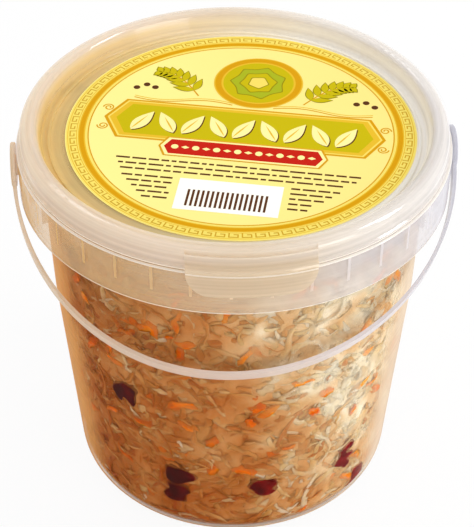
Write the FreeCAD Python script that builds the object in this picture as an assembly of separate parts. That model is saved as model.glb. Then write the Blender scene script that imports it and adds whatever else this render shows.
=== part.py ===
import FreeCAD
import Part
import math
import os

# A clear plastic tub of sauerkraut. The container tapers and carries a ribbed collar, the push-on lid
# has a recessed panel and a pull tab, a round label lies in the recess, a strap handle swings in the
# collar, and shredded cabbage fills the inside. Millimetres, Z up, origin at the centre of the base.

# Overall sizes
overallHeight = 123.4       # base to the top of the lid's ring
collarRadius = 62.3         # outside of the collar at its top edge

# Container wall and base
collarOverhang = 7.0        # collar to wall, at the collar's lower edge
upperTaper = 1.5            # wall radius lost between the collar and the waist
lowerTaper = 6.1            # wall radius lost between the waist and the base
waistHeight = 69.0          # where the taper gets steeper
waistRounding = 60.0        # of the bend between the two tapers
baseRounding = 9.0
wallThickness = 1.0
floorThickness = 1.2
grooveRadius = 30.0         # shallow ring moulded into the underside
grooveWidth = 1.6
grooveDepth = 0.4

# Collar
lidRise = 6.9               # top of the lid above the collar's top edge
collarDepth = 13.6
collarThickness = 1.1
collarDraft = 0.2           # radius lost between the collar's top and lower edge
collarEdgeRounding = 0.35
flangeThickness = 1.2       # web that joins the collar to the wall
ribCount = 36
ribThickness = 1.0
ribDepth = 8.2              # below the collar's top edge
ribBite = 0.4               # how far a rib runs into the wall and the collar

# Rim that the lid snaps over
rimThickness = 0.9
rimBeadSize = 0.6
rimBeadHeight = 1.0
rimTopGap = 0.6             # rim to the underside of the lid's ring

# Lid
lidInset = 1.1              # collar outside to lid outside
lidSeatGap = 0.3            # lid hem to the collar's flange
skirtThickness = 0.9
hemSize = 0.4
hemHeight = 0.8
snapSize = 1.0              # bead inside the skirt that holds under the rim's bead
snapHeight = 1.0
snapFit = 0.4
lidThickness = 1.2
ringWidth = 4.6
ringOuterRounding = 2.6
ringInnerRounding = 1.5
ringSlope = 2.0             # radius lost from the ring's top to the panel
plugThickness = 1.1
panelDepth = 5.6            # panel below the ring's top
panelThickness = 1.1
panelRounding = 0.7
beadInset = 1.6             # panel's edge to the middle of the thin bead around the label
beadWidth = 0.8
beadHeight = 0.6

# Pull tab at the front of the lid
tabWidth = 35.0
tabReach = 6.6              # below the collar's top edge
tabThickness = 1.1
tabGap = 0.3                # tab to collar
tabRootDrop = 1.7           # tab's root below the top of the ring
tabFlare = 4.0              # height over which the tab swings outwards
tabCornerRounding = 7.0
tearLineWidth = 0.8
tearLineDepth = 0.5

# Label
labelMargin = 2.3           # bead to label, if the label were centred
labelThickness = 0.2
labelShiftX = 1.95          # labels are stuck on a little off centre
labelShiftY = 0.6

# Handle
pivotDrop = 6.6             # ear axis below the collar's top edge
earRadius = 6.5
earThickness = 1.4
earGap = 0.35               # ear to collar
earChamfer = 0.3
pegRadius = 3.0
pegFit = 0.3                # peg to its hole in the collar
pegHeadSize = 0.8
pegHeadLength = 1.1
pegHeadGap = 0.35           # peg head to the inside of the collar
strapWidth = 5.0
strapThickness = 1.0
strapArm = 2.5              # straight run from each ear before the bow starts
strapLean = 2.3             # sideways set of the strap's middle
strapSwingGap = 1.3         # strap to pull tab as it swings over
strapRestGap = 0.6          # strap to wall where it hangs
strapSteps = 24             # points along each edge of the strap

# Filling
fillingFit = 0.1            # filling to the wall and floor
fillingHeadroom = 1.6       # mean top of the filling to the lid's panel
fillingWave = 0.8           # how far the top rises and dips
fillingWaveLength = 23.0
fillingCrossLength = 30.0   # of the second wave, which crosses the first
fillingSlant = 0.4          # how far both waves run askew to X and Y
fillingSteps = 24           # points each way in the top's surface

# Values that follow from the sizes above
collarTop = overallHeight - lidRise
collarBottom = collarTop - collarDepth
flangeBottom = collarTop - flangeThickness
collarInside = collarRadius - collarThickness
shoulderRadius = collarRadius - collarOverhang
waistRadius = shoulderRadius - upperTaper
baseRadius = waistRadius - lowerTaper

lidRadius = collarRadius - lidInset
skirtInside = lidRadius - skirtThickness
hemBottom = collarTop + lidSeatGap
lidUnderside = overallHeight - lidThickness
ringInside = lidRadius - ringWidth
panelTop = overallHeight - panelDepth
panelUnderside = panelTop - panelThickness
panelRadius = ringInside - ringSlope
beadRadius = panelRadius - beadInset

rimTop = lidUnderside - rimTopGap
rimOutside = skirtInside - snapSize - snapFit
rimInside = rimOutside - rimThickness

tabInside = collarRadius + tabGap
tabOutside = tabInside + tabThickness
tabBottom = collarTop - tabReach
tabRoot = overallHeight - tabRootDrop

pivotHeight = collarTop - pivotDrop
earInside = collarRadius + earGap
strapHalfSpan = earInside + earThickness / 2
strapReach = math.hypot(tabOutside, collarTop - pivotHeight) + strapSwingGap + strapThickness / 2

upAxis = FreeCAD.Vector(0, 0, 1)
sideAxis = FreeCAD.Vector(1, 0, 0)
origin = FreeCAD.Vector(0, 0, 0)
pivot = FreeCAD.Vector(0, 0, pivotHeight)


def roundedFace(corners, place):
    # A flat face from (u, v, rounding) corners: straight edges, with an arc at each rounded corner.
    # place turns (u, v) into a point in space.
    points = [place(u, v) for u, v, rounding in corners]
    stops = []
    for index, (u, v, rounding) in enumerate(corners):
        here = points[index]
        if rounding == 0:
            stops.append((here, None, here))
            continue
        toLast = (points[index - 1] - here).normalize()
        toNext = (points[(index + 1) % len(points)] - here).normalize()
        halfAngle = toLast.getAngle(toNext) / 2
        setback = rounding / math.tan(halfAngle)
        inward = (toLast + toNext).normalize() * (rounding / math.sin(halfAngle) - rounding)
        stops.append((here + toLast * setback, here + inward, here + toNext * setback))
    edges = []
    for index, (start, middle, end) in enumerate(stops):
        if middle is not None:
            edges.append(Part.Arc(start, middle, end).toShape())
        nextStart = stops[(index + 1) % len(stops)][0]
        edges.append(Part.LineSegment(end, nextStart).toShape())
    return Part.Face(Part.Wire(edges))


def inSection(radius, height):
    return FreeCAD.Vector(radius, 0, height)


def turned(corners):
    # A solid of revolution about the Z axis from (radius, height, rounding) corners.
    return roundedFace(corners, inSection).revolve(origin, upAxis, 360)


def wallRadius(height):
    # Outside radius of the container's wall, from the base up to the flange.
    if height < waistHeight:
        return baseRadius + (waistRadius - baseRadius) * height / waistHeight
    if height < collarBottom:
        share = (height - waistHeight) / (collarBottom - waistHeight)
        return waistRadius + (shoulderRadius - waistRadius) * share
    share = (height - collarBottom) / (flangeBottom - collarBottom)
    return shoulderRadius + (rimOutside - shoulderRadius) * share


def makeTub():
    grooveInside = grooveRadius - grooveWidth / 2
    grooveOutside = grooveRadius + grooveWidth / 2
    beadOutside = rimOutside + rimBeadSize
    body = turned([
        (0, 0, 0),
        (grooveInside, 0, 0),
        (grooveInside, grooveDepth, 0),
        (grooveOutside, grooveDepth, 0),
        (grooveOutside, 0, 0),
        (baseRadius, 0, baseRounding),
        (waistRadius, waistHeight, waistRounding),
        (shoulderRadius, collarBottom, 0),
        (rimOutside, flangeBottom, 0),
        (collarInside, flangeBottom, 0),
        (collarInside - collarDraft, collarBottom, 0),
        (collarRadius - collarDraft, collarBottom, collarEdgeRounding),
        (collarRadius, collarTop, collarEdgeRounding),
        (rimOutside, collarTop, 0),
        (rimOutside, rimTop - rimBeadHeight, 0),
        (beadOutside, rimTop - rimBeadHeight, 0),
        (beadOutside, rimTop, rimBeadSize / 2),
        (rimInside, rimTop, 0),
        (rimOutside - wallThickness, flangeBottom, 0),
        (shoulderRadius - wallThickness, collarBottom, 0),
        (waistRadius - wallThickness, waistHeight, waistRounding + wallThickness),
        (baseRadius - wallThickness, floorThickness, baseRounding - wallThickness),
        (0, floorThickness, 0),
    ])
    return body.fuse(makeRibs()).removeSplitter().cut(makePegHoles())


def makeRibs():
    # Short upright ribs between wall and collar, hung from the flange.
    ribBottom = collarTop - ribDepth
    ribTop = flangeBottom + flangeThickness / 2
    ribOutside = collarInside - collarDraft + ribBite
    rib = roundedFace([
        (wallRadius(ribBottom) - ribBite, ribBottom, 0),
        (ribOutside, ribBottom, 0),
        (ribOutside, ribTop, 0),
        (rimOutside - ribBite, ribTop, 0),
    ], inSection).extrude(FreeCAD.Vector(0, ribThickness, 0))
    rib.translate(FreeCAD.Vector(0, -ribThickness / 2, 0))
    step = 360 / ribCount
    ribs = []
    for index in range(ribCount):
        copy = rib.copy()
        copy.rotate(origin, upAxis, (index + 0.5) * step)
        ribs.append(copy)
    return ribs


def makePegHoles():
    # One drill along X that goes through the collar only, on both sides.
    drill = Part.makeCylinder(pegRadius + pegFit, 2 * collarRadius, pivot - sideAxis * collarRadius, sideAxis)
    keep = Part.makeCylinder(collarInside - collarThickness, overallHeight)
    return drill.cut(keep)


def makeLid():
    beadInside = beadRadius - beadWidth / 2
    beadOutside = beadRadius + beadWidth / 2
    beadCorner = beadWidth / 4
    hemTop = hemBottom + hemHeight
    snapTop = rimTop - rimBeadHeight - snapFit
    snapBottom = snapTop - snapHeight
    plugTop = ringInside - ringSlope * lidThickness / panelDepth + plugThickness
    body = turned([
        (0, panelTop, 0),
        (beadInside, panelTop, 0),
        (beadInside, panelTop + beadHeight, beadCorner),
        (beadOutside, panelTop + beadHeight, beadCorner),
        (beadOutside, panelTop, 0),
        (panelRadius, panelTop, panelRounding),
        (ringInside, overallHeight, ringInnerRounding),
        (lidRadius, overallHeight, ringOuterRounding),
        (lidRadius, hemTop + hemSize, 0),
        (lidRadius + hemSize, hemTop, 0),
        (lidRadius + hemSize, hemBottom, 0),
        (skirtInside, hemBottom, 0),
        (skirtInside, snapBottom, 0),
        (skirtInside - snapSize, snapBottom + snapHeight / 2, 0),
        (skirtInside - snapSize, snapTop, 0),
        (skirtInside, snapTop, 0),
        (skirtInside, lidUnderside, 0),
        (plugTop, lidUnderside, 0),
        (panelRadius + plugThickness, panelUnderside, 0),
        (0, panelUnderside, 0),
    ])
    return body.fuse(makeTab()).removeSplitter().cut(makeTearLine())


def frontSector(section):
    # Turns a section through a sector that is centred on the front and wider than the tab.
    sector = 4 * math.degrees(math.asin(tabWidth / 2 / lidRadius))
    solid = section.revolve(origin, upAxis, sector)
    solid.rotate(origin, upAxis, -90 - sector / 2)
    return solid


def tabPrism(corner):
    # Upright block over the tab's width, with the tab's two lower corners rounded.
    half = tabWidth / 2
    outline = roundedFace([
        (-half, overallHeight, 0),
        (-half, tabBottom, corner),
        (half, tabBottom, corner),
        (half, overallHeight, 0),
    ], inSection)
    block = outline.extrude(FreeCAD.Vector(0, 2 * tabOutside, 0))
    block.translate(FreeCAD.Vector(0, -2 * tabOutside, 0))
    return block


def makeTab():
    rootInside = skirtInside + skirtThickness / 4
    section = roundedFace([
        (rootInside, tabRoot, 0),
        (lidRadius - skirtThickness / 4, tabRoot, 0),
        (tabOutside, tabRoot - tabFlare, tabFlare / 2),
        (tabOutside, tabBottom, tabThickness / 3),
        (tabInside, tabBottom, tabThickness / 3),
        (tabInside, hemBottom, 0),
        (rootInside, hemBottom, 0),
    ], inSection)
    return frontSector(section).common(tabPrism(tabCornerRounding))


def makeTearLine():
    # Shallow groove along the top of the tab, where it leaves the ring.
    middle = lidRadius - skirtThickness / 2
    bottom = tabRoot - tearLineDepth
    section = roundedFace([
        (middle - tearLineWidth / 2, bottom, 0),
        (middle + tearLineWidth / 2, bottom, 0),
        (middle + tearLineWidth / 2, overallHeight, 0),
        (middle - tearLineWidth / 2, overallHeight, 0),
    ], inSection)
    return frontSector(section).common(tabPrism(0))


def makeLabel():
    radius = beadRadius - beadWidth / 2 - labelMargin
    return Part.makeCylinder(radius, labelThickness, FreeCAD.Vector(labelShiftX, labelShiftY, panelTop))


def strapEdge(side):
    # One edge of the strap: half an ellipse with a sideways lean, seen square to the handle and
    # shifted sideways by half the strap's thickness, outwards for side 1 and inwards for side -1.
    bow = strapReach - strapArm
    shift = side * strapThickness / 2
    points = []
    for step in range(strapSteps + 1):
        angle = math.pi * step / strapSteps
        x = strapHalfSpan * math.cos(angle) - strapLean * math.sin(angle) ** 2
        drop = strapArm + bow * math.sin(angle)
        normalX = bow * math.cos(angle)
        normalDrop = strapHalfSpan * math.sin(angle) + strapLean * math.sin(2 * angle)
        size = math.hypot(normalX, normalDrop)
        x += shift * normalX / size
        drop += shift * normalDrop / size
        points.append(FreeCAD.Vector(x, 0, pivotHeight - drop))
    curve = Part.BSplineCurve()
    curve.interpolate(points)
    return curve.toShape(), points[0], points[-1]


def hangAngle():
    # Angle from straight down at which the strap's inner lower corner comes to rest on the wall.
    inner = strapReach - strapThickness / 2
    low = 0.0
    high = math.pi / 2
    for step in range(40):
        angle = (low + high) / 2
        out = inner * math.sin(angle) - strapWidth / 2 * math.cos(angle)
        height = pivotHeight - inner * math.cos(angle) - strapWidth / 2 * math.sin(angle)
        if math.hypot(out, strapLean) > wallRadius(height) + strapRestGap:
            high = angle
        else:
            low = angle
    return math.degrees(high)


def makeStrap():
    outer, outerRight, outerLeft = strapEdge(1)
    inner, innerRight, innerLeft = strapEdge(-1)
    armTop = pivotHeight + earRadius / 2
    right = Part.makePolygon([
        outerRight,
        FreeCAD.Vector(outerRight.x, 0, armTop),
        FreeCAD.Vector(innerRight.x, 0, armTop),
        innerRight,
    ])
    left = Part.makePolygon([
        innerLeft,
        FreeCAD.Vector(innerLeft.x, 0, armTop),
        FreeCAD.Vector(outerLeft.x, 0, armTop),
        outerLeft,
    ])
    edges = [outer] + right.Edges + [inner] + left.Edges
    outline = Part.Face(Part.Wire(Part.__sortEdges__(edges)))
    strap = outline.extrude(FreeCAD.Vector(0, strapWidth, 0))
    strap.translate(FreeCAD.Vector(0, -strapWidth / 2, 0))
    return strap


def makeEar():
    # The right-hand ear, its peg through the collar and the peg's head inside.
    ear = Part.makeCylinder(earRadius, earThickness, pivot + sideAxis * earInside, sideAxis)
    ear = ear.makeChamfer(earChamfer, [edge for edge in ear.Edges if isRound(edge)])
    headWidth = pegRadius + pegHeadSize
    headOutside = math.sqrt((collarInside - collarDraft) ** 2 - headWidth ** 2) - pegHeadGap
    headInside = headOutside - pegHeadLength
    peg = Part.makeCylinder(pegRadius, earInside - headInside + earThickness / 2,
                            pivot + sideAxis * headInside, sideAxis)
    head = Part.makeCone(pegRadius, headWidth, pegHeadLength, pivot + sideAxis * headInside, sideAxis)
    return [ear, peg, head]


def isRound(edge):
    return isinstance(edge.Curve, Part.Circle)


def makeHandle():
    ears = makeEar()
    for piece in makeEar():
        piece.rotate(origin, upAxis, 180)
        ears.append(piece)
    handle = makeStrap().fuse(ears).removeSplitter()
    handle.rotate(pivot, sideAxis, -hangAngle())
    return handle


def fillingHeight(x, y):
    # Two crossing waves, strongest where both crest.
    turn = 2 * math.pi
    first = math.sin(turn * (x + fillingSlant * y) / fillingWaveLength)
    second = math.cos(turn * (y - fillingSlant * x) / fillingCrossLength)
    mean = panelUnderside - fillingHeadroom
    return mean + fillingWave * (first + second) / 2


def makeFilling():
    inset = wallThickness + fillingFit
    core = turned([
        (0, floorThickness + fillingFit, 0),
        (baseRadius - inset, floorThickness + fillingFit, baseRounding - wallThickness),
        (waistRadius - inset, waistHeight, waistRounding + wallThickness),
        (shoulderRadius - inset, collarBottom, 0),
        (rimOutside - inset, flangeBottom, 0),
        (rimOutside - inset, panelUnderside, 0),
        (0, panelUnderside, 0),
    ])
    steps = [(2 * index / fillingSteps - 1) * collarRadius for index in range(fillingSteps + 1)]
    grid = [[FreeCAD.Vector(x, y, fillingHeight(x, y)) for y in steps] for x in steps]
    surface = Part.BSplineSurface()
    surface.interpolate(grid)
    above = surface.toShape().extrude(upAxis * overallHeight)
    return core.cut(above)


def solidOf(shape):
    # The one solid inside a boolean's result.
    solid, = shape.Solids
    return solid


def main():
    os.makedirs("parts", exist_ok=True)
    pieces = {
        "tub": makeTub(),
        "lid": makeLid(),
        "label": makeLabel(),
        "handle": makeHandle(),
        "sauerkraut": makeFilling(),
    }
    for name, shape in pieces.items():
        solid = solidOf(shape)
        solid.exportStep("parts/" + name + ".step")
        box = solid.BoundBox
        print(name, "valid", solid.isValid(), "volume %.1f" % solid.Volume,
              "x %.2f %.2f y %.2f %.2f z %.2f %.2f" % (box.XMin, box.XMax, box.YMin, box.YMax, box.ZMin, box.ZMax))
    print("handle hangs at %.2f degrees" % hangAngle())


main()
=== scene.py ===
import bpy
import math
import numpy as np
from mathutils import Matrix, Vector


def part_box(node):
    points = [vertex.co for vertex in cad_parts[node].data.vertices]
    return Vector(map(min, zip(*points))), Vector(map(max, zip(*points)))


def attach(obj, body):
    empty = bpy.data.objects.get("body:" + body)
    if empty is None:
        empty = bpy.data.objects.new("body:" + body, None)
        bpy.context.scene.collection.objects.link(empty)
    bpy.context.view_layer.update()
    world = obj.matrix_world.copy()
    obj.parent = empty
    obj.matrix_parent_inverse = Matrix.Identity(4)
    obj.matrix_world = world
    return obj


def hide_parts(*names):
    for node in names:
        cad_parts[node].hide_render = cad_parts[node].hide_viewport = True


# A clear plastic tub of sauerkraut: the tub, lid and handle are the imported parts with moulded
# polypropylene on them; the label gets its print, and real shreds lie over a core inside.

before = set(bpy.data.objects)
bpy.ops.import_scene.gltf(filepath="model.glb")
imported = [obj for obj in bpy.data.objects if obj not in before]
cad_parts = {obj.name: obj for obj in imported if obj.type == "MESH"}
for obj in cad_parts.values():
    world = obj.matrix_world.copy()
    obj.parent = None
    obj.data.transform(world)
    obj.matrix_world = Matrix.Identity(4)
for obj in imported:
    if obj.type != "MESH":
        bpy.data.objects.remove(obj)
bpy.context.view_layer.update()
mm = 0.001
containerBody = "container"
print("frame loaded, nodes:", ", ".join(sorted(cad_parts)))


def linear(hexColour):
    # sRGB hex to linear red, green, blue and 1
    raw = np.array([int(hexColour[i:i + 2], 16) for i in (1, 3, 5)]) / 255
    out = np.where(raw <= 0.04045, raw / 12.92, ((raw + 0.055) / 1.055) ** 2.4)
    return (*out.tolist(), 1.0)


white = linear("#FFFFFF")


def addNode(tree, kind, settings=None, links=None):
    # Settings in lower case are the node's own, all others are its sockets; stops fill a colour ramp with
    # (place, hex colour). A link is a socket or a node, for its first output, or a plain number.
    node = tree.nodes.new(kind)
    for name, value in (settings or {}).items():
        if name == "stops":
            marks = node.color_ramp.elements
            while len(marks) < len(value):
                marks.new(0.5)
            for mark, (place, colour) in zip(marks, value):
                mark.position = place
                mark.color = linear(colour)
        elif isinstance(name, str) and name[0].islower():
            setattr(node, name, value)
        else:
            node.inputs[name].default_value = value
    for name, source in (links or {}).items():
        if isinstance(source, float):
            node.inputs[name].default_value = source
        elif isinstance(source, bpy.types.Node):
            tree.links.new(source.outputs[0], node.inputs[name])
        else:
            tree.links.new(source, node.inputs[name])
    return node


def newMaterial(name):
    material = bpy.data.materials.new(name)
    material.use_nodes = True
    tree = material.node_tree
    tree.nodes.clear()
    return material, tree, addNode(tree, "ShaderNodeOutputMaterial")


def makePiece(name, points, faces, material, smooth=True, floats=None, colours=None):
    # points in metres (n, 3); faces an (m, k) array or a list; floats and colours are point attributes
    mesh = bpy.data.meshes.new(name)
    rows = faces.tolist() if isinstance(faces, np.ndarray) else faces
    mesh.from_pydata(points.tolist(), [], rows)
    for key, values in (floats or {}).items():
        mesh.attributes.new(key, "FLOAT", "POINT").data.foreach_set("value", np.asarray(values, np.float32))
    for key, values in (colours or {}).items():
        layer = mesh.attributes.new(key, "FLOAT_COLOR", "POINT")
        layer.data.foreach_set("color", np.asarray(values, np.float32).ravel())
    mesh.polygons.foreach_set("use_smooth", np.full(len(mesh.polygons), smooth))
    mesh.materials.append(material)
    mesh.update()
    piece = bpy.data.objects.new(name, mesh)
    bpy.context.scene.collection.objects.link(piece)
    return piece


def gridQuads(rows, columns, closedRows=False, closedColumns=False):
    # quads over a grid whose points are numbered row by row
    r = np.arange(rows if closedRows else rows - 1)[:, None]
    c = np.arange(columns if closedColumns else columns - 1)[None, :]
    r2 = (r + 1) % rows
    c2 = (c + 1) % columns
    quads = np.stack([r * columns + c, r * columns + c2, r2 * columns + c2, r2 * columns + c], -1)
    return quads.reshape(-1, 4)


def ripple(points, wavelength, seed, count=20):
    # a smooth random field about 1 high: sines of mixed directions and lengths, summed
    rng = np.random.default_rng(seed)
    turn = rng.normal(size=(3, count))
    turn *= 2 * np.pi / wavelength * rng.uniform(0.7, 1.5, count) / np.linalg.norm(turn, axis=0)
    return np.sin(points @ turn + rng.uniform(0, 2 * np.pi, count)).sum(-1) / math.sqrt(count / 2)


view = {
    "turn": -4.6,            # degrees the camera stands round from straight in front
    "elevation": 39.30,
    "distance": 563.8,       # mm
    "aim": (0.97, 69.7),     # mm across and up, the middle of the picture
    "roll": 0.40,
    "lens": 127.45,
}


def makeCamera(v):
    turn = Matrix.Rotation(math.radians(v["turn"]), 3, "Z")
    rise = math.radians(v["elevation"])
    aim = Vector((v["aim"][0], 0, v["aim"][1]))
    stand = aim + Vector((0, -math.cos(rise), math.sin(rise))) * v["distance"]
    aim, stand = turn @ aim * mm, turn @ stand * mm
    forward = (aim - stand).normalized()
    right = forward.cross(Vector((0, 0, 1))).normalized()
    up = right.cross(forward)
    roll = math.radians(v["roll"])
    right, up = right * math.cos(roll) + up * math.sin(roll), up * math.cos(roll) - right * math.sin(roll)
    data = bpy.data.cameras.new("camera")
    data.lens = v["lens"]
    data.sensor_width = 36
    data.clip_start = 0.01
    data.clip_end = 20
    camera = bpy.data.objects.new("camera", data)
    camera.matrix_world = Matrix((
        (right.x, up.x, -forward.x, stand.x),
        (right.y, up.y, -forward.y, stand.y),
        (right.z, up.z, -forward.z, stand.z),
        (0, 0, 0, 1)))
    bpy.context.scene.collection.objects.link(camera)
    bpy.context.scene.camera = camera


studio = {
    "worldLight": 0.86,
    "floorSize": 6.0, "floorDrop": 0.0002, "floorPaper": "#F4F4F4",
    "floorWhite": 0.92,      # share of the floor that shows plain white
    "lampAim": 0.09,         # height in m that the lamps look at
    "lamps": [
        # name, azimuth from the front towards the right, elevation, distance m, size m, watts, colour
        ("window_right", 82, 38, 1.3, (0.30, 0.56), 5.2, "#F6F9FF"),
        ("front_fill", 38, 12, 1.4, (0.8, 0.6), 4.2, "#FFFDF8"),
        ("window_back", -150, 50, 1.4, (0.5, 0.4), 1.5, "#FFFFFF"),
    ],
}


def makeWorld(s):
    # Even light all round; seen directly, in gloss or through clear parts it is plain white.
    world = bpy.data.worlds.new("studio")
    bpy.context.scene.world = world
    world.use_nodes = True
    tree = world.node_tree
    tree.nodes.clear()
    path = addNode(tree, "ShaderNodeLightPath")
    seen = addNode(tree, "ShaderNodeMath", {"operation": "MAXIMUM"},
                   {0: path.outputs["Is Camera Ray"], 1: path.outputs["Is Transmission Ray"]})
    seen = addNode(tree, "ShaderNodeMath", {"operation": "MAXIMUM"},
                   {0: seen, 1: path.outputs["Is Glossy Ray"]})
    glow = addNode(tree, "ShaderNodeBackground", {"Color": white, "Strength": s["worldLight"]})
    plain = addNode(tree, "ShaderNodeBackground", {"Color": white, "Strength": 1.0})
    both = addNode(tree, "ShaderNodeMixShader", None, {"Fac": seen, 1: glow, 2: plain})
    addNode(tree, "ShaderNodeOutputWorld", None, {"Surface": both})


def makeFloor(s):
    # Matt backdrop paper that stays white and still takes a soft shadow.
    material, tree, output = newMaterial("floor_paper")
    path = addNode(tree, "ShaderNodeLightPath")
    share = addNode(tree, "ShaderNodeMath", {"operation": "MULTIPLY", 1: s["floorWhite"]},
                    {0: path.outputs["Is Camera Ray"]})
    paper = addNode(tree, "ShaderNodeBsdfDiffuse", {"Color": linear(s["floorPaper"])})
    glow = addNode(tree, "ShaderNodeEmission", {"Color": white, "Strength": 1.0})
    mixed = addNode(tree, "ShaderNodeMixShader", None, {"Fac": share, 1: paper, 2: glow})
    tree.links.new(mixed.outputs[0], output.inputs["Surface"])
    half = s["floorSize"] / 2
    corners = np.array([[-half, -half, 0], [half, -half, 0], [half, half, 0], [-half, half, 0]])
    floor = makePiece("floor", corners - [0, 0, s["floorDrop"]], [[0, 1, 2, 3]], material, False)


def makeLamps(s):
    for name, azimuth, elevation, distance, size, watts, colour in s["lamps"]:
        light = bpy.data.lights.new(name, "AREA")
        light.shape = "RECTANGLE"
        light.size, light.size_y = size
        light.energy = watts
        light.color = linear(colour)[:3]
        a, e = math.radians(azimuth), math.radians(elevation)
        place = Vector((math.sin(a) * math.cos(e), -math.cos(a) * math.cos(e), math.sin(e))) * distance
        lamp = bpy.data.objects.new(name, light)
        lamp.location = place + Vector((0, 0, s["lampAim"]))
        lamp.rotation_euler = (-place).to_track_quat("-Z", "Y").to_euler()
        bpy.context.scene.collection.objects.link(lamp)


bpy.context.scene.view_settings.view_transform = "Standard"
makeCamera(view)
makeWorld(studio)
makeFloor(studio)
makeLamps(studio)
print("camera, floor and lamps placed")


plastics = {
    # Pairs are (thin wall or panel, stout outer parts). haze is the milky share at each surface and
    # edgeHaze what a glancing look adds, glare the least share of gloss and sheen what such a look adds.
    # through is the share of the milk that lets light on, rings how strong the mould's fine rings are.
    # ribs and foot are milky shares: where a rib meets the collar, and low down. clearLeft is the part of
    # the thin haze that is left on the left; on the lid's panel the fuller milk on the right is painted light
    # where the ring's shade falls. The milk colours run from the left to the right with painted shade and
    # light: warm shade on the left, cool light on the right. lines are the heights, mm, of edges with a
    # painted highlight beyond the radii of lineSpan; rimTone tints the pull tab.
    "tub": {
        "haze": (0.0, 0.36), "edgeHaze": (0.85, 0.30), "glare": (0.002, 0.06), "sheen": (0.06, 0.5),
        "through": (0.28, 0.28), "rings": 0.10, "gloss": 0.09, "tint": "#FFFDFA",
        "ribs": 0.70, "foot": 0.7, "clearLeft": 1.0, "rimTone": None,
        "milk": [(0.0, "#F4C66E"), (0.25, "#EEC888"), (0.5, "#F2DCBC"), (0.72, "#EFE9EA"), (1.0, "#DADAE6")],
        "wallMilkAndShade": [(0.0, "#FCC078"), (0.25, "#E6AA62"), (0.5, "#E0B480"), (0.75, "#E4CFB4"),
                     (1.0, "#DED2C4")],
        "lines": (103.1, 116.4), "lineSpan": (61.4, 61.6),
    },
    "lid": {
        "haze": (0.74, 0.50), "edgeHaze": (0.10, 0.30), "glare": (0.02, 0.07), "sheen": (0.3, 0.5),
        "through": (0.0, 0.42), "rings": 0.18, "gloss": 0.07, "tint": "#FFFCF8",
        "ribs": 0.0, "foot": 0.0, "clearLeft": 0.50, "rimTone": "#EDD6AC",
        "milk": [(0.0, "#FFF8E8"), (0.3, "#FEF5E8"), (0.5, "#F9EFDF"), (0.75, "#FFFCF8"), (1.0, "#FCFBFB")],
        "wallMilkAndShade": [(0.0, "#FFDE86"), (0.3, "#FFE8AC"), (0.7, "#FFF9EC"), (1.0, "#FFFCF6")],
        "lines": (117.0,), "lineSpan": (61.1, 61.3),
    },
    "handle": {
        "haze": (0.56, 0.56), "edgeHaze": (0.30, 0.30), "glare": (0.02, 0.02), "sheen": (0.4, 0.4),
        "through": (0.28, 0.28), "rings": 0.05, "gloss": 0.12, "tint": "#FFFCFA",
        "ribs": 0.0, "foot": 0.0, "clearLeft": 1.0, "rimTone": None,
        "milk": [(0.0, "#EFD6AE"), (0.35, "#F4E8DC"), (0.7, "#EEEAEE"), (1.0, "#D2D3DE")],
        "wallMilkAndShade": None,
        "lines": (), "lineSpan": None,
    },
}
moulding = {
    # what the plastic parts share, in mm unless a note says otherwise
    "wallSpan": (55.6, 56.4),    # radii where the thin wall or panel ends and the stout parts start
    "halfWidth": 62.0,           # the colours run across from minus this to plus this
    "edgeSpan": (0.66, 0.86),    # how glancing a look is where the edge haze starts and where it is full
    "clearSpan": (0.2, 0.7),     # shares of the way across where clearLeft ends and the full haze starts
    "footSpan": (1.5, 5.0),      # heights over which the milky foot fades
    "flowSize": 6.0, "flowDepth": 0.3,
    "ringStep": 1.1,
    # a painted highlight along cut edges: its half height, its milky share and its colour
    "lineHalf": 0.22, "edgeHighlightShare": 0.9, "edgeHighlightTone": "#FFFAF0",
    "rimSpan": (61.6, 62.4), "rimShare": 0.7,
}
ribs = {
    "step": 10.0,                # degrees from one to the next
    "middle": 112.3, "halfHeight": 4.0, "radiusSpan": (60.4, 60.8),
    "halfWidth": 0.04,           # share of a step
}


def byRadius(tree, at, pair, span=moulding["wallSpan"]):
    # One value inside a radius and another outside it; two equal ones stay a plain number.
    if pair[0] == pair[1]:
        return pair[0]
    return addNode(tree, "ShaderNodeMapRange",
                   {"From Min": span[0] * mm, "From Max": span[1] * mm, "To Min": pair[0], "To Max": pair[1]},
                   {"Value": at["radius"]})


def hazeShare(tree, at, p, m):
    # How milky the plastic is: its own haze plus what a glancing look adds, times the fine rings left by
    # the turned mould, which are noise over radius and height only.
    own = byRadius(tree, at, p["haze"])
    # on the lid's panel the full haze on the right is painted light where the ring's shade falls; the left
    # keeps less
    if p["clearLeft"] < 1:
        share = addNode(tree, "ShaderNodeMapRange",
                        {"From Min": m["clearSpan"][0], "From Max": m["clearSpan"][1],
                         "To Min": p["clearLeft"], "To Max": 1.0}, {"Value": at["across"]})
        thin = addNode(tree, "ShaderNodeMath", {"operation": "MULTIPLY"}, {0: own, 1: share})
        own = addNode(tree, "ShaderNodeMix", None, {0: byRadius(tree, at, (0.0, 1.0)), 2: thin, 3: own})
    edge = addNode(tree, "ShaderNodeMapRange", {"interpolation_type": "SMOOTHSTEP",
                                                "From Min": m["edgeSpan"][0], "From Max": m["edgeSpan"][1]},
                   {"Value": at["facing"]})
    haze = addNode(tree, "ShaderNodeMath", {"operation": "MULTIPLY_ADD"},
                   {0: edge, 1: byRadius(tree, at, p["edgeHaze"]), 2: own})
    section = addNode(tree, "ShaderNodeCombineXYZ", None, {"X": at["radius"], "Y": at["z"]})
    rings = addNode(tree, "ShaderNodeTexNoise", {"Scale": 1 / (m["ringStep"] * mm), "Detail": 2.0},
                    {"Vector": section})
    uneven = addNode(tree, "ShaderNodeMapRange", {"From Min": 0.3, "From Max": 0.7, "To Min": 1 - p["rings"],
                                                  "To Max": 1 + p["rings"]}, {"Value": rings})
    return addNode(tree, "ShaderNodeMath", {"operation": "MULTIPLY", "use_clamp": True}, {0: haze, 1: uneven})


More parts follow.
